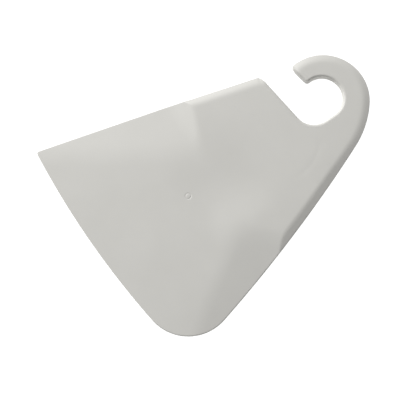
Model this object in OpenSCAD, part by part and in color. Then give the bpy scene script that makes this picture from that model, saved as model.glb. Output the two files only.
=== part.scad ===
// Hooked bench scraper: one plastic moulding with a thin curved blade, a thick grip and a hanging hook.
// It lies flat: +Y runs from the scraping edge to the hook, +Z is up and out of the face.
// The origin is under the middle of its length and width, on the plane that the grip rests on.
// Both faces are alike, so the moulding is symmetric about the plane half way up the grip.

/* [Overall] */
// Length from the scraping edge to the top of the hook
overall_len = 192; // [188:1:200]
// Width from the sharp corner to the round corner
overall_w = 148.5; // [146:0.5:152]
// Thickness of the grip and the hook
grip_t = 8; // [6:0.5:10]
// Thickness of the blade at its edges
edge_t = 1.5; // [1:0.1:2]

/* [Blade outline] */
// Radius of the scraping edge
scrape_r = 524; // [480:2:600]
// Sideways place of the scraping edge's lowest point
scrape_x = -11.4; // [-14:0.2:-8]
// Radius of the round corner
corner_r = 28.5; // [24:0.5:32]
// Lean of the blade's straight side
blade_lean = 15.6; // [15:0.1:16]
// Length of the blade's straight side, from the sharp corner
blade_side = 77; // [70:1:80]

/* [Blade facets] */
// How far up the blade the grip's full thickness ends, beside the middle
crease_in_y = -8; // [-12:0.5:-4]
// How far up the blade the grip's full thickness ends, at the sides
crease_out_y = 3; // [0:0.5:6]
// Inner end of the crease on the straight side
crease_left_x = -21; // [-24:0.5:-18]
// Inner end of the crease on the bowed side
crease_right_x = 27; // [24:0.5:30]
// Reach of the ramp that climbs from the thin side edge to the grip
ramp_reach = 14; // [12:0.5:18]

/* [Grip] */
// Radius of the bowed side, from the round corner to the hook
side_r = 884; // [860:2:900]
// Lean of the bowed side where it leaves the round corner
side_lean = 13.6; // [13.4:0.1:13.8]
// Lean of the grip's straight side
grip_lean = 16.5; // [16:0.1:17]
// Width of the rounding along the outer edges
nose_w = 6.5; // [4:0.5:7]
// Thickness of the grip and the hook at their outer edges
grip_edge_t = 4.7; // [4:0.1:5.5]

/* [Hook] */
// Outer radius of the hook
hook_r = 28; // [27:0.25:29]
// Sideways place of the hook's centre
hook_x = -0.9; // [-1.4:0.1:-0.4]
// Direction in which the hook's outer arc starts to widen into the arm
flare_a = 51; // [45:1:57]
// Radius of the eye, at both of its ends
eye_r = 13; // [12:0.25:13.5]
// Sideways place of the eye
eye_x = -2.4; // [-3:0.1:-1.8]
// Distance from the top of the hook to the centre of the eye's upper end
eye_drop = 27.8; // [27:0.1:29]
// Distance between the centres of the eye's two ends
eye_run = 6.6; // [5:0.1:8]
// Length of the mouth's lower lip, from the eye to the grip's corner
lip_len = 33.8; // [32:0.2:36]
// Slope of the mouth's lower lip
lip_a = 6.4; // [5:0.1:8]
// Slope of the hook's end face
tip_a = 10; // [8:0.5:12]
// How far the eye's wall wraps past level at the hook's end
tip_wrap = 9; // [6:0.5:12]

/* [Gate mark] */
// Diameter of the moulding gate's witness ring
gate_d = 3.3; // [2.5:0.1:4]
// Distance from the scraping edge to the gate mark
gate_up = 64; // [56:1:70]
// Depth of the ring
gate_depth = 0.3; // [0.2:0.1:0.5]

/* [Hidden] */

FACE = "#CAC9C5";
BIG_FN = 720;
ROUND_FN = 180;
SMALL_FN = 48;
ARM_FN = 96;
NOSE_STEPS = 7;
HAIR = 0.05;

half_l = overall_len / 2;
half_w = overall_w / 2;
mid_z = grip_t / 2;
half_edge = edge_t / 2;
half_grip_edge = grip_edge_t / 2;
rise = mid_z - half_edge;
over = 1;
reach = 12;
side_tail = 36;
hook_end_a = 200;
lap_a = 1;
far = 400;

function dir(a) = [cos(a), sin(a)];
function heading(a) = [sin(a), cos(a)];
function angle_of(v) = atan2(v[1], v[0]);
function side_x(y) = side_c[0] + sqrt(pow(side_r, 2) - pow(y - side_c[1], 2));

// Centres of the scraping edge, the round corner and the bowed side: each arc runs smoothly into the next
scrape_c = [scrape_x, scrape_r - half_l];
corner_x = half_w - corner_r;
corner_c = [corner_x, scrape_c[1] - sqrt(pow(scrape_r - corner_r, 2) - pow(corner_x - scrape_x, 2))];
side_c = corner_c - (side_r - corner_r) * dir(side_lean);

// The hook's outer arc widens into a flare that runs smoothly into the bowed side
hook_c = [hook_x, half_l - hook_r];
hook_from_side = hook_c - side_c;
hook_slack = side_r - hook_r;
flare_shift = (pow(hook_slack, 2) - hook_from_side * hook_from_side)
    / (2 * (hook_slack - hook_from_side * dir(flare_a)));
flare_r = hook_r + flare_shift;
flare_c = hook_c - flare_shift * dir(flare_a);
flare_end_a = angle_of(flare_c - side_c);

// The eye, the lip that leaves it on a tangent, and the hook's end face
eye_c = [eye_x, half_l - eye_drop];
eye_low_c = eye_c - [0, eye_run];
lip_start = eye_low_c + eye_r * dir(lip_a - 90);
grip_corner = lip_start - lip_len * dir(lip_a);
tip_in = eye_c + eye_r * dir(180 + tip_wrap);

// The straight side: the blade's part stands a little proud of the grip's part
sharp_corner = [-half_w, scrape_c[1] - sqrt(pow(scrape_r, 2) - pow(half_w + scrape_x, 2))];
blade_top = sharp_corner + blade_side * heading(blade_lean);
crease_left = grip_corner + (crease_out_y - grip_corner[1]) / cos(grip_lean) * heading(grip_lean);
crease_right = [side_x(crease_out_y), crease_out_y];
crease_right_a = angle_of(crease_right - side_c);
ridge_left = [crease_left_x, crease_in_y];
ridge_right = [crease_right_x, crease_in_y];

// Slopes of the facets, away from the plane half way up
main_slope = atan(rise / (crease_in_y + half_l));
side_low = corner_c + corner_r * dir(side_lean);
side_chord_a = angle_of(crease_right - side_low);
left_slope = atan(rise / ((ridge_left - sharp_corner) * heading(blade_lean + 90)));
right_slope = atan(rise / ((ridge_right - side_low) * dir(side_chord_a + 90)));
ramp_slope = atan(rise / ramp_reach);
crease_left_out = ridge_left + 2 * (crease_left - ridge_left);
crease_right_out = ridge_right + 2 * (crease_right - ridge_right);
ramp_edge_way = dir(crease_right_a + 90);

// Outer edges of the thick part: an arc from the flat face down to an upright land
nose_drop = mid_z - half_grip_edge;
nose_r = (nose_w * nose_w + nose_drop * nose_drop) / (2 * nose_drop);
nose_a = asin(nose_w / nose_r);
nose_points = [
    for (i = [0:NOSE_STEPS])
        [nose_r * sin(nose_a * i / NOSE_STEPS) - nose_w, mid_z - nose_r * (1 - cos(nose_a * i / NOSE_STEPS))]
];

// Section of the thick part a little deeper than its rounding: the edge lies at x = 0, the inside at -x
module edge_half() {
    polygon(concat([[-nose_w - over, 0], [-nose_w - over, mid_z]], nose_points, [[0, 0]]));
}

module edge_section() {
    translate([0, mid_z]) {
        edge_half();
        mirror([0, 1]) edge_half();
    }
}

// Runs a section along a straight edge from p to q, with its +x on the left of the way
module along(p, q) {
    way = q - p;
    translate([p[0], p[1], 0])
        rotate([0, 0, angle_of(way) + 90])
            rotate([90, 0, 0])
                linear_extrude(height = norm(way)) children();
}

// Runs a section round c, from angle a0 to a1
module around(c, r, a0, a1, fn) {
    translate([c[0], c[1], 0])
        rotate([0, 0, a0])
            rotate_extrude(angle = a1 - a0, $fn = fn) translate([r, 0]) children();
}

// The thick part between the straight side and the bowed side: both bulge, so one hull closes it
module grip_blank() {
    hull() {
        along(crease_left - side_tail * heading(grip_lean), grip_corner + reach * heading(grip_lean))
            edge_section();
        around(side_c, side_r, crease_right_a - 2 * lap_a, flare_end_a, BIG_FN) edge_section();
    }
}

// What the rounding leaves outside it beside the ramps, on both faces, a hair wider than the edge
module ramp_edge_waste(p, q) {
    both_faces()
        along(p, q)
            translate([HAIR, mid_z])
                polygon(concat(
                    nose_points, [[reach, half_grip_edge], [reach, mid_z + over], [-nose_w, mid_z + over]]
                ));
}

// The arm and the hook with no eye yet, inside three arcs that run into each other
module hook_blank() {
    hull() {
        around(side_c, side_r, flare_end_a - lap_a, flare_end_a, BIG_FN) edge_section();
        around(flare_c, flare_r, flare_end_a, flare_a, ARM_FN) edge_section();
        around(hook_c, hook_r, flare_a, hook_end_a, ARM_FN) edge_section();
    }
}

// The grip seen from above: from the crease to the lip and the middle of the eye's lower end
module grip_outline() {
    difference() {
        polygon([
            crease_left_out, ridge_left, ridge_right, crease_right_out, [half_w, eye_low_c[1]],
            eye_low_c, lip_start, lip_start - (lip_len + reach) * dir(lip_a)
        ]);
        translate(eye_low_c) circle(r = eye_r, $fn = ROUND_FN);
    }
}

// The upper part of the eye, its straight wall and the mouth beside it
module eye_and_mouth_outline() {
    far_left = tip_in - (hook_r + reach) * dir(tip_a);
    translate(eye_c) circle(r = eye_r, $fn = ROUND_FN);
    polygon([
        eye_c, tip_in, far_left, [far_left[0], eye_low_c[1] - over],
        eye_low_c + [eye_r, -over], eye_c + [eye_r, 0]
    ]);
}

// Everything above a plane through p that falls towards direction a
module slope_cut(p, a, slope) {
    translate(p)
        rotate([0, 0, a])
            rotate([0, slope, 0])
                translate([-far / 2, -far / 2, 0]) cube([far, far, 2 * grip_t]);
}

// The same cut from both faces
module both_faces() {
    children();
    translate([0, 0, grip_t]) mirror([0, 0, 1]) children();
}

module blade_outline() {
    scrape_end_a = angle_of(corner_c - scrape_c);
    difference() {
        intersection() {
            polygon([
                sharp_corner - reach * heading(blade_lean), blade_top, crease_left,
                grip_corner, [overall_w, 0], [overall_w, -overall_len]
            ]);
            translate(scrape_c) circle(r = scrape_r, $fn = BIG_FN);
            translate(side_c) circle(r = side_r, $fn = BIG_FN);
        }
        difference() {
            polygon([
                corner_c, corner_c + 2 * corner_r * dir(scrape_end_a),
                corner_c + 2 * corner_r * dir((scrape_end_a + side_lean) / 2),
                corner_c + 2 * corner_r * dir(side_lean)
            ]);
            translate(corner_c) circle(r = corner_r, $fn = ROUND_FN);
        }
    }
}

// Below the crease, where the full thickness ends
module below_crease() {
    polygon([
        crease_left_out, ridge_left, ridge_right, crease_right_out,
        [overall_w, -overall_len], [-overall_w, -overall_len]
    ]);
}

// What is cut from one face beside the middle: it stops at the facet or at the ramp, whichever stands higher
module side_cut(edge_point, facet_a, facet_slope, ridge, ramp_a) {
    intersection() {
        slope_cut([edge_point[0], edge_point[1], mid_z + half_edge], facet_a, facet_slope);
        slope_cut([ridge[0], ridge[1], grip_t - HAIR], ramp_a, ramp_slope);
    }
}

// Ring left by the moulding gate, in the upper face only
module gate_mark() {
    y = gate_up - half_l;
    face_z = grip_t - (crease_in_y - y) * tan(main_slope);
    translate([0, y, face_z - gate_depth])
        difference() {
            cylinder(h = gate_depth + over, d = gate_d, $fn = SMALL_FN);
            translate([0, 0, -over]) cylinder(h = gate_depth + 3 * over, d = gate_d / 2, $fn = SMALL_FN);
        }
}

// The thin fan: three facets on each face, ramps up to the grip, and the gate mark
module blade() {
    color(FACE)
        difference() {
            linear_extrude(height = grip_t)
                intersection() {
                    blade_outline();
                    below_crease();
                }
            both_faces() slope_cut([0, crease_in_y, grip_t], -90, main_slope);
            both_faces()
                side_cut(
                    sharp_corner, 180 - blade_lean, left_slope,
                    ridge_left, angle_of(crease_left - ridge_left) + 90
                );
            both_faces()
                side_cut(
                    side_low, side_chord_a - 90, right_slope,
                    ridge_right, angle_of(crease_right - ridge_right) - 90
                );
            ramp_edge_waste(
                crease_left - side_tail * heading(grip_lean),
                crease_left + over * heading(grip_lean)
            );
            ramp_edge_waste(crease_right + over * ramp_edge_way, crease_right - side_tail * ramp_edge_way);
            gate_mark();
        }
}

// The thick palm grip
module grip() {
    color(FACE)
        intersection() {
            grip_blank();
            linear_extrude(height = grip_t) grip_outline();
        }
}

// The arm and the hook around the eye
module hook() {
    color(FACE)
        difference() {
            intersection() {
                hook_blank();
                translate([-half_w, eye_low_c[1], -over])
                    cube([overall_w, half_l, grip_t + 2 * over]);
            }
            translate([0, 0, -over])
                linear_extrude(height = grip_t + 2 * over) eye_and_mouth_outline();
        }
}

blade();
grip();
hook();
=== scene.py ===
"""A hooked bench scraper: one moulded plastic skin for the three CAD zones, on a white light table."""
import math

import bpy
import numpy as np
from mathutils import Matrix, Vector, geometry


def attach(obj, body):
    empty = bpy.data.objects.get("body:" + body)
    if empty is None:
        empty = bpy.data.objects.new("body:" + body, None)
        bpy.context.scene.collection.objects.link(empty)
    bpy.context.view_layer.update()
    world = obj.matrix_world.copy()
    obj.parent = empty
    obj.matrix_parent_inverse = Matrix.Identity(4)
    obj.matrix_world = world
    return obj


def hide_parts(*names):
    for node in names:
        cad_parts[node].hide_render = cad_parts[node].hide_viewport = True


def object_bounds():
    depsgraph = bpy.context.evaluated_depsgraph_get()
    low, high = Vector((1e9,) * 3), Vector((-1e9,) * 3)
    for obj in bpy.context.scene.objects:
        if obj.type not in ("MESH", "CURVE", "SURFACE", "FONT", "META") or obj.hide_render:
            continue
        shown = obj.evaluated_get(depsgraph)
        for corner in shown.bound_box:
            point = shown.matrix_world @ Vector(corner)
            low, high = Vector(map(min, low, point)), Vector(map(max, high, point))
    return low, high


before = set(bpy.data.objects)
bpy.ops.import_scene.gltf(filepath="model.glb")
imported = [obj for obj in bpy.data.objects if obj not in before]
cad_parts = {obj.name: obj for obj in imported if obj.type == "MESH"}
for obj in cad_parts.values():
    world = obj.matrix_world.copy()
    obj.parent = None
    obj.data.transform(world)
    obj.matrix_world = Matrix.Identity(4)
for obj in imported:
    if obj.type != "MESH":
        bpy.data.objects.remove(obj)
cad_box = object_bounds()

MM = 0.001

# ---------------------------------------------------------------- sizes, in millimetres, as the CAD has them
LOW, HIGH = [np.array(corner) / MM for corner in cad_box]
HALF_W = (HIGH[0] - LOW[0]) / 2
HALF_L = HIGH[1]                 # the shorter half of the box, so that the skin stays inside it
MID = (HIGH[2] - LOW[2]) / 2
LAND = 0.75                      # half the blade's thickness at its edges
RISE = MID - LAND

SCRAPE_R, SCRAPE_X = 524.0, -11.4
CORNER_R = 28.5
BLADE_LEAN = 15.6
SIDE_R, SIDE_LEAN = 884.0, 13.6
GRIP_LEAN = 16.5
STEP_LOW, STEP_HIGH = -16.0, 6.0  # the straight side's two stretches run into each other between these
HOOK_R, HOOK_X = 28.0, -0.9
FLARE_A = 51.0
EYE_R, EYE_X, EYE_DROP, EYE_RUN = 13.0, -2.4, 27.8, 6.6
LIP_LEN, LIP_A = 33.8, 6.4
TIP_A, TIP_WRAP = 10.0, 9.0
SHARP_CUT, GRIP_CUT = 0.9, 2.4    # how far from each corner of the outline its rounding starts
TIP_OUT_CUT, TIP_IN_CUT = 1.6, 1.4
CREASE_IN_Y, CREASE_OUT_Y = -8.0, 3.0

# ---------------------------------------------------------------- the form of a face, in millimetres
RIDGE_LEFT = np.array([-19.6, CREASE_IN_Y])
RIDGE_RIGHT = np.array([28.6, -16.0])
RAMP_LEFT, RAMP_RIGHT = 11.3, 16.8
RAMP_RIGHT_LIFT = 0.3
LEFT_SLOPE, LEFT_SLOPE_MORE = 0.086, 0.010
LEFT_UP_MOST = 1.2               # the left facet's slope grows no further above this share of its height

RIDGE_LEFT_BLEND, RIDGE_RIGHT_BLEND = 0.7, 0.5
RAMP_LEFT_BLEND, RAMP_RIGHT_BLEND = 1.6, 1.3
CREASE_BLEND, CREASE_RIGHT_BLEND = 0.3, 1.5

SWELL_C = np.array([50.0, -62.0])  # the middle facet swells a little here, by the right ridge's low end
SWELL_UP, SWELL_W = 0.14, 16.0

DISH_DEPTH, DISH_X, DISH_W = 1.06, 11.8, 24.5
DISH_SWELL_UP, DISH_SWELL_X, DISH_SWELL_W = 0.53, 33.7, 16.0
DISH_STARTS, DISH_ENDS = (-44.0, -21.6), (-10.0, 31.5)   # where it fades in and out, along y

NOSE_W = 4.0                     # width of the bevel along the outer edges
NOSE_WIDENS = 1.2                # how much wider it is on the bowed side
NOSE_SLOPE, NOSE_BLEND = 0.35, 0.8
NOSE_SHARPENS = 0.35             # the share of that blend which the bowed side loses
NOSE_FACE_BLEND = 0.15
BOW_STARTS, BOW_ENDS = (0.0, 20.0), (35.0, 75.0)         # the bowed side fades in along x, out along y

RIM_R = 1.3                      # rounding round the eye, the lip and the hook's end
EDGE_R = 0.3                     # rounding of the blade's thin edges
EDGE_SOFTENS = 0.27              # how much more of it the round corner and the bowed side have
SOFT_EDGE_STARTS = (42.0, 60.0)  # where it becomes rounder, along x
ROUND_DEPTH = 0.9                # depth of a rounding as a share of its radius

GATE = np.array([0.5, 63.3 - HALF_L])
GATE_R, GATE_DEPTH, GATE_W = 1.65, 0.16, 0.24
GATE_BUTTON = 0.05               # how far the gate mark's middle stands up

FLOW_C, FLOW_R = np.array([-5.0, 28.0]), 33.8    # a faint flow line beside the eye
FLOW_DEPTH, FLOW_W = 0.055, 1.2
FLOW_STARTS, FLOW_ENDS = (-8.0, 6.0), (40.0, 50.0)       # where it fades in and out, in degrees

DRAFT = 0.7                      # how far the eye's wall stands in, half way up
DRAFT_RUN = 4.0                  # the length of the outline over which the draft sets in
SEAM = 0.05                      # how far the mould's parting line stands out of the side wall
SEAM_HALF_W = 0.18

# ---------------------------------------------------------------- mesh density
STEP = 0.8                       # along the outline
GRID = 1.15                      # across the faces
GATE_TURN = 9                    # degrees between the points of a ring round the gate mark
RINGS = [0.06, 0.15, 0.28, 0.45, 0.75, 1.1, 1.5, 2.1, 2.8, 3.6, 4.5, 5.4, 6.3]
GATE_RINGS = [0.4, 0.8, 1.1, 1.3, 1.45, 1.6, 1.75, 1.9, 2.1, 2.5, 3.1]
RING_SHARE = 0.97                # a ring's points stay at least this share of its depth from every edge
RING_GAP, GATE_GAP = 0.6, 0.5    # the grid keeps this many steps clear of the rings
KEEP_INSIDE = 1                  # the triangulation keeps only what lies inside the outline
SAME_POINT = 1e-6
AT_ONCE = 1500                   # points whose distances are worked out together, to save memory
NEAR_ARC, ON_LINE = 1.0, 0.5     # how near to the eye or the lip an outline point counts as on it


def direction(degrees):
    return np.array([math.cos(math.radians(degrees)), math.sin(math.radians(degrees))])


def heading(degrees):
    return direction(90.0 - degrees)


def angle_of(v):
    return math.degrees(math.atan2(v[1], v[0]))


def far_from(points, centre):
    return np.linalg.norm(points - centre, axis=1)


# ---------------------------------------------------------------- outline
# the arcs' centres: each arc runs smoothly into the next
scrape_c = np.array([SCRAPE_X, SCRAPE_R - HALF_L])
corner_x = HALF_W - CORNER_R
corner_drop = math.sqrt((SCRAPE_R - CORNER_R) ** 2 - (corner_x - SCRAPE_X) ** 2)
corner_c = np.array([corner_x, scrape_c[1] - corner_drop])
side_c = corner_c - (SIDE_R - CORNER_R) * direction(SIDE_LEAN)
hook_c = np.array([HOOK_X, HALF_L - HOOK_R])
hook_slack = SIDE_R - HOOK_R
hook_way = hook_c - side_c
flare_shift = (hook_slack ** 2 - hook_way @ hook_way) / (2 * (hook_slack - hook_way @ direction(FLARE_A)))
flare_r = HOOK_R + flare_shift
flare_c = hook_c - flare_shift * direction(FLARE_A)
flare_end = angle_of(flare_c - side_c)
eye_c = np.array([EYE_X, HALF_L - EYE_DROP])
eye_low_c = eye_c - [0, EYE_RUN]
lip_start = eye_low_c + EYE_R * direction(LIP_A - 90)
grip_corner = lip_start - LIP_LEN * direction(LIP_A)
tip_in = eye_c + EYE_R * direction(180 + TIP_WRAP)
sharp_corner = np.array([-HALF_W, scrape_c[1] - math.sqrt(SCRAPE_R ** 2 - (HALF_W + SCRAPE_X) ** 2)])


def circle_hit(p, way, c, r):
    """Where the ray from p along way leaves the circle."""
    b = (p - c) @ way
    return p + way * (-b + math.sqrt(b * b - (p - c) @ (p - c) + r * r))


tip_out = circle_hit(tip_in, -direction(TIP_A), hook_c, HOOK_R)


def arc(c, r, a0, a1):
    n = max(3, math.ceil(abs(math.radians(a1 - a0)) * r / STEP))
    return [c + r * direction(a0 + (a1 - a0) * i / n) for i in range(n)]


def line(p, q):
    n = max(1, math.ceil(np.linalg.norm(q - p) / STEP))
    return [p + (q - p) * i / n for i in range(n)]


def fade(v, start, end):
    """A smooth rise from 0 at start to 1 at end."""
    t = np.clip((v - start) / (end - start), 0, 1)
    return t * t * (3 - 2 * t)


def straight_side_x(y):
    """The straight side: the blade's stretch stands a little proud of the grip's."""
    blade_x = sharp_corner[0] + (y - sharp_corner[1]) * math.tan(math.radians(BLADE_LEAN))
    grip_x = grip_corner[0] + (y - grip_corner[1]) * math.tan(math.radians(GRIP_LEAN))
    return blade_x + (grip_x - blade_x) * fade(y, STEP_LOW, STEP_HIGH)


def straight_side():
    n = math.ceil((grip_corner[1] - sharp_corner[1]) / STEP)
    ys = [grip_corner[1] + (sharp_corner[1] - grip_corner[1]) * i / n for i in range(n)]
    return [np.array([straight_side_x(y), y]) for y in ys]


def rounded(points, corner, cut):
    """The closed outline with one corner rounded, by a curve that starts and ends cut away from it."""
    pts = np.array(points)
    far = far_from(pts, corner)
    at = int(np.argmin(far))
    pts = np.roll(pts, -at, axis=0)
    far = np.roll(far, -at)
    n = len(pts)
    after = next(i for i in range(n) if far[i] >= cut)
    before = next(i for i in range(n) if far[-1 - i] >= cut)
    kept = pts[after:n - before]
    start, end = pts[n - 1 - before], pts[after]
    steps = max(4, math.ceil(3 * cut / STEP))
    curve = []
    for i in range(1, steps):
        t = i / steps
        curve.append((1 - t) ** 2 * start + 2 * t * (1 - t) * corner + t * t * end)
    return np.vstack([kept, curve])


def make_outline():
    points = (
        arc(scrape_c, SCRAPE_R, angle_of(sharp_corner - scrape_c), angle_of(corner_c - scrape_c))
        + arc(corner_c, CORNER_R, angle_of(corner_c - scrape_c), SIDE_LEAN)
        + arc(side_c, SIDE_R, SIDE_LEAN, flare_end)
        + arc(flare_c, flare_r, flare_end, FLARE_A)
        + arc(hook_c, HOOK_R, FLARE_A, angle_of(tip_out - hook_c) % 360)
        + line(tip_out, tip_in)
        + arc(eye_c, EYE_R, 180 + TIP_WRAP, 0)
        + line(eye_c + [EYE_R, 0], eye_low_c + [EYE_R, 0])
        + arc(eye_low_c, EYE_R, 0, LIP_A - 90)
        + line(lip_start, grip_corner)
        + straight_side()
    )
    points = rounded(points, sharp_corner, SHARP_CUT)
    points = rounded(points, tip_out, TIP_OUT_CUT)
    points = rounded(points, tip_in, TIP_IN_CUT)
    return rounded(points, grip_corner, GRIP_CUT)


def normals_in(points):
    """Unit normals of a closed counter-clockwise outline, into the solid."""
    along = np.roll(points, -1, axis=0) - np.roll(points, 1, axis=0)
    along /= np.linalg.norm(along, axis=1)[:, None]
    return np.stack([-along[:, 1], along[:, 0]], axis=1)


def distance(points, starts, ends):
    """Distance of each point from the nearest of the segments."""
    result = np.empty(len(points))
    way = ends - starts
    length2 = (way ** 2).sum(1)
    for i in range(0, len(points), AT_ONCE):
        off = points[i:i + AT_ONCE, None, :] - starts[None]
        t = np.clip((off * way).sum(2) / length2, 0, 1)
        result[i:i + AT_ONCE] = np.sqrt(((off - t[..., None] * way) ** 2).sum(2).min(1))
    return result


def is_inner(p):
    """Whether an outline point lies on the hook's end, the eye or the lip."""
    near_eye = far_from(p, eye_c) < EYE_R + NEAR_ARC
    near_low = far_from(p, eye_low_c) < EYE_R + NEAR_ARC
    beside_lip = np.abs((p - lip_start) @ direction(LIP_A + 90))
    on_lip = (beside_lip < ON_LINE) & (p[:, 0] < eye_low_c[0])
    beside_tip = np.abs((p - tip_in) @ direction(TIP_A + 90))
    on_tip = (beside_tip < ON_LINE) & (p[:, 0] < eye_c[0])
    return near_eye | near_low | on_lip | on_tip


# ---------------------------------------------------------------- thickness
def smooth_min(a, b, k):
    h = np.maximum(k - np.abs(a - b), 0) / k
    return np.minimum(a, b) - h * h * k / 4


def smooth_max(a, b, k):
    return -smooth_min(-a, -b, k)


def bell(v, centre, width):
    return np.exp(-((v - centre) / width) ** 2)


def ramp(points, ridge, crease, reach, side):
    """Height of the ramp that falls from a crease: on the left of its way out if side is 1, right if -1."""
    way = (crease - ridge) / np.linalg.norm(crease - ridge)
    down = side * ((points - ridge) @ np.array([-way[1], way[0]]))
    return MID - RISE * down / reach


def thumb_dish(points):
    """A shallow hollow for the thumb beside the middle, with a low swell next to it."""
    x, y = points.T
    window = fade(y, *DISH_STARTS) * (1 - fade(y, *DISH_ENDS))
    hollow = DISH_DEPTH * bell(x, DISH_X, DISH_W)
    swell = DISH_SWELL_UP * bell(x, DISH_SWELL_X, DISH_SWELL_W)
    return window * (hollow - swell)


def left_facet(points, up):
    """The facet of the straight side, with the ramp at its top."""
    way_in = (points - sharp_corner) @ heading(BLADE_LEAN + 90)
    slope = LEFT_SLOPE + LEFT_SLOPE_MORE * np.clip(up, 0, LEFT_UP_MOST) ** 2
    crease = np.array([straight_side_x(CREASE_OUT_Y), CREASE_OUT_Y])
    left_ramp = ramp(points, RIDGE_LEFT, crease, RAMP_LEFT, 1)
    return smooth_max(LAND + slope * way_in, left_ramp, RAMP_LEFT_BLEND)


def right_facet(points):
    """The facet of the bowed side, with the ramp at its top, which ends at the grip's level."""
    side_low = corner_c + CORNER_R * direction(SIDE_LEAN)
    bow_reach = math.sqrt(SIDE_R ** 2 - (CREASE_OUT_Y - side_c[1]) ** 2)
    crease = np.array([side_c[0] + bow_reach, CREASE_OUT_Y])
    way_in = direction(angle_of(crease - side_low) + 90)
    facet = LAND + RISE * ((points - side_low) @ way_in) / ((RIDGE_RIGHT - side_low) @ way_in)
    right_ramp = ramp(points, RIDGE_RIGHT, crease, RAMP_RIGHT, -1) + RAMP_RIGHT_LIFT
    return smooth_min(smooth_max(facet, right_ramp, RAMP_RIGHT_BLEND), MID, CREASE_RIGHT_BLEND)


def nose(outer, bowed_side):
    """The bevel that falls towards the thick outer edges."""
    width = NOSE_W + NOSE_WIDENS * bowed_side
    blend = NOSE_BLEND * (1 - NOSE_SHARPENS * bowed_side)
    return MID - smooth_max(np.zeros_like(outer), NOSE_SLOPE * (width - outer), blend)


def rounding(away, radius):
    """How far a rounded edge lies below a sharp one, at a distance away from the edge."""
    into = np.clip(radius - away, 0, radius)
    return ROUND_DEPTH * (radius - np.sqrt(radius ** 2 - into ** 2))


def half_thickness(points, outer, inner):
    """Height of a face above the middle plane, from each point's distances to the outer and inner edges."""
    x, y = points.T
    up = (y + HALF_L) / (CREASE_IN_Y + HALF_L)
    middle = LAND + RISE * up + SWELL_UP * bell(far_from(points, SWELL_C), 0, SWELL_W)
    body = smooth_min(middle, left_facet(points, up), RIDGE_LEFT_BLEND)
    body = smooth_min(body, right_facet(points), RIDGE_RIGHT_BLEND)
    body = smooth_min(body, MID, CREASE_BLEND) - thumb_dish(points)
    bowed_side = fade(x, *BOW_STARTS) * (1 - fade(y, *BOW_ENDS))
    body = smooth_min(body, nose(outer, bowed_side), NOSE_FACE_BLEND)
    edge_r = EDGE_R + EDGE_SOFTENS * fade(x, *SOFT_EDGE_STARTS)
    return body - rounding(inner, RIM_R) - rounding(outer, edge_r)


def gate_groove(points):
    far = far_from(points, GATE)
    return GATE_DEPTH * bell(far, GATE_R, GATE_W) - GATE_BUTTON * (1 - fade(far, 0, GATE_R))


def flow_groove(points):
    way = points - FLOW_C
    turn = np.degrees(np.arctan2(way[:, 1], way[:, 0]))
    window = fade(turn, *FLOW_STARTS) * (1 - fade(turn, *FLOW_ENDS))
    return FLOW_DEPTH * bell(far_from(points, FLOW_C), FLOW_R, FLOW_W) * window


# ---------------------------------------------------------------- the skin
def face_points(outline, starts, ends):
    """Points across the face: rings along the outline, rings round the gate mark, and a grid between."""
    inward = normals_in(outline)
    kept = []
    for depth in RINGS:
        ring = outline + inward * depth
        kept.append(ring[distance(ring, starts, ends) > RING_SHARE * depth])
    for radius in GATE_RINGS:
        kept.append(np.array([GATE + radius * direction(a) for a in range(0, 360, GATE_TURN)]))
    kept.append(GATE[None])
    low, high = outline.min(0), outline.max(0)
    ys = np.arange(low[1], high[1], GRID * math.sqrt(3) / 2)
    grid = np.array([
        [x, y]
        for i, y in enumerate(ys)
        for x in np.arange(low[0] + (i % 2) * GRID / 2, high[0], GRID)
    ])
    grid = grid[inside(grid, outline)]
    clear = distance(grid, starts, ends) > RINGS[-1] + GRID * RING_GAP
    clear &= far_from(grid, GATE) > GATE_RINGS[-1] + GRID * GATE_GAP
    kept.append(grid[clear])
    return np.vstack(kept)


def inside(points, outline):
    """Whether each point lies inside the outline: a ray from it then crosses an odd number of sides."""
    x, y = points.T
    result = np.zeros(len(points), bool)
    for (x0, y0), (x1, y1) in zip(outline, np.roll(outline, -1, axis=0)):
        if y0 != y1:
            crosses = (y0 > y) != (y1 > y)
            result ^= crosses & (x < (x1 - x0) * (y - y0) / (y1 - y0) + x0)
    return result


def wall_rings(outline, from_outer):
    """The side wall's rings between the faces: above the parting line, on it and below it."""
    wall_out = -normals_in(outline)
    drafted = outline + DRAFT * fade(from_outer, 0, DRAFT_RUN)[:, None] * wall_out
    seam = drafted + SEAM * wall_out
    n = len(outline)
    return [
        np.column_stack([drafted, np.full(n, MID + SEAM_HALF_W)]),
        np.column_stack([seam, np.full(n, MID)]),
        np.column_stack([drafted, np.full(n, MID - SEAM_HALF_W)]),
    ]


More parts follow.
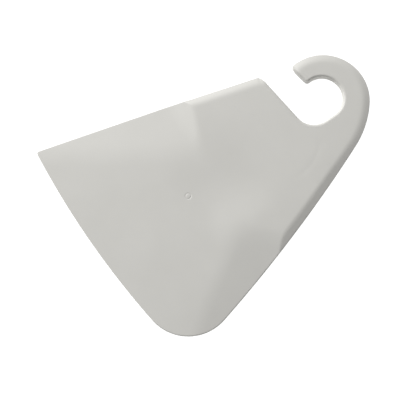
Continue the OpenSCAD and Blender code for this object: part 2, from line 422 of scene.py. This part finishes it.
def make_skin():
    outline = make_outline()
    outline = outline + SEAM * normals_in(outline)
    n = len(outline)
    starts, ends = outline, np.roll(outline, -1, axis=0)
    flat = np.vstack([outline, face_points(outline, starts, ends)])
    points = [Vector(p) for p in flat]
    rim = list(range(n))
    mesh_2d = geometry.delaunay_2d_cdt(points, [], [rim], KEEP_INSIDE, SAME_POINT)
    flat = np.array([list(v) for v in mesh_2d[0]])
    triangles = mesh_2d[2]
    inner_mask = is_inner(starts)
    outer = distance(flat, starts[~inner_mask], ends[~inner_mask])
    inner = distance(flat, starts[inner_mask], ends[inner_mask])
    half = half_thickness(flat, outer, inner)
    count = len(flat)
    top = np.column_stack([flat, MID + half - gate_groove(flat) - flow_groove(flat)])
    under = np.column_stack([flat, MID - half])
    verts = np.vstack([top, under] + wall_rings(outline, outer[:n])) * MM
    faces = [tuple(t) for t in triangles]
    faces += [(a + count, c + count, b + count) for a, b, c in triangles]
    # the wall runs from the top face's edge over its three rings to the underside's edge
    levels = [0, 2 * count, 2 * count + n, 2 * count + 2 * n, count]
    for above, below in zip(levels, levels[1:]):
        for i in range(n):
            j = (i + 1) % n
            faces.append((above + j, above + i, below + i, below + j))
    mesh = bpy.data.meshes.new("scraper_skin")
    mesh.from_pydata(verts.tolist(), [], faces)
    mesh.update()
    mesh.polygons.foreach_set("use_smooth", [True] * len(mesh.polygons))
    skin = bpy.data.objects.new("scraper_skin", mesh)
    bpy.context.scene.collection.objects.link(skin)
    return skin


# ---------------------------------------------------------------- materials
def node_material(name):
    material = bpy.data.materials.new(name)
    material.use_nodes = True
    tree = material.node_tree
    return material, tree, tree.nodes["Principled BSDF"]


def noise(tree, scale, detail):
    coords = tree.nodes.new("ShaderNodeTexCoord")
    texture = tree.nodes.new("ShaderNodeTexNoise")
    texture.inputs["Scale"].default_value = scale
    texture.inputs["Detail"].default_value = detail
    tree.links.new(coords.outputs["Object"], texture.inputs["Vector"])
    return texture.outputs["Fac"]


def grey(value):
    return (value, value, value, 1)


def blend(tree, source, low, high):
    """Runs from one colour to the other over the middle of the noise's range."""
    node = tree.nodes.new("ShaderNodeValToRGB")
    first, last = node.color_ramp.elements
    first.position, first.color = 0.3, low
    last.position, last.color = 0.7, high
    tree.links.new(source, node.inputs["Fac"])
    return node.outputs["Color"]


def bump(tree, height, strength, depth):
    node = tree.nodes.new("ShaderNodeBump")
    node.inputs["Strength"].default_value = strength
    node.inputs["Distance"].default_value = depth
    tree.links.new(height, node.inputs["Height"])
    return node


def moulded_plastic():
    material, tree, shader = node_material("moulded_plastic")
    clouds = noise(tree, scale=26, detail=4)
    tint = blend(tree, clouds, (0.585, 0.577, 0.546, 1), (0.610, 0.602, 0.571, 1))
    tree.links.new(tint, shader.inputs["Base Color"])
    gloss = blend(tree, noise(tree, scale=140, detail=3), grey(0.42), grey(0.50))
    tree.links.new(gloss, shader.inputs["Roughness"])
    fine = bump(tree, noise(tree, scale=2600, detail=2), strength=0.25, depth=0.00002)
    wide = bump(tree, noise(tree, scale=60, detail=2), strength=0.3, depth=0.0001)
    tree.links.new(fine.outputs["Normal"], wide.inputs["Normal"])
    tree.links.new(wide.outputs["Normal"], shader.inputs["Normal"])
    shader.inputs["Specular IOR Level"].default_value = 0.45
    return material


def light_table():
    material, tree, shader = node_material("light_table")
    tint = blend(tree, noise(tree, scale=8, detail=2), grey(0.26), grey(0.28))
    tree.links.new(tint, shader.inputs["Base Color"])
    shader.inputs["Roughness"].default_value = 0.9
    shader.inputs["Specular IOR Level"].default_value = 0.0
    shader.inputs["Emission Color"].default_value = grey(1)
    shader.inputs["Emission Strength"].default_value = 1.0
    return material


# ---------------------------------------------------------------- camera, light, floor
VIEW_RIGHT = Vector((0.5734, 0.8193, 0)).normalized()
VIEW_UP = Vector((-VIEW_RIGHT.y, VIEW_RIGHT.x, 0))
ABOVE = Vector((0, 0, 1))
TARGET = Vector((6.15, -28.0, MID)) * MM
CAMERA_FAR = 0.899
TILT = math.radians(9)
FLOOR_SIZE, FLOOR_GAP = 6, 0.0002


def place_camera():
    data = bpy.data.cameras.new("camera")
    data.sensor_width = 36
    data.lens = 135
    data.clip_start = 0.01
    camera = bpy.data.objects.new("camera", data)
    bpy.context.scene.collection.objects.link(camera)
    back = -math.sin(TILT) * VIEW_UP + math.cos(TILT) * ABOVE
    turn = Matrix((VIEW_RIGHT, back.cross(VIEW_RIGHT), back)).transposed().to_4x4()
    camera.matrix_world = Matrix.Translation(TARGET + back * CAMERA_FAR) @ turn
    bpy.context.scene.camera = camera


def area_light(name, way, elevation, far, size, power):
    """A soft square light: way is where it stands in the picture, as right and up."""
    across = (way[0] * VIEW_RIGHT + way[1] * VIEW_UP).normalized()
    place = math.cos(elevation) * across + math.sin(elevation) * ABOVE
    data = bpy.data.lights.new(name, "AREA")
    data.size = size
    data.energy = power
    light = bpy.data.objects.new(name, data)
    light.location = TARGET + place * far
    light.rotation_euler = place.to_track_quat("Z", "Y").to_euler()
    bpy.context.scene.collection.objects.link(light)


def place_lights():
    area_light("key", way=(-0.665, 0.747), elevation=math.radians(33.9), far=1.9, size=0.83, power=45.0)
    world = bpy.data.worlds.new("studio")
    world.use_nodes = True
    background = world.node_tree.nodes["Background"]
    background.inputs["Color"].default_value = grey(1)
    background.inputs["Strength"].default_value = 0.285
    bpy.context.scene.world = world
    bpy.context.scene.view_settings.view_transform = "Standard"


def place_floor():
    bpy.ops.mesh.primitive_plane_add(size=FLOOR_SIZE, location=(0, 0, LOW[2] * MM - FLOOR_GAP))
    floor = bpy.context.object
    floor.name = "floor"
    floor.data.materials.append(light_table())


place_camera()
place_lights()
place_floor()

skin = make_skin()
skin.data.materials.append(moulded_plastic())
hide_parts("blade", "grip", "hook")
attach(skin, "root")
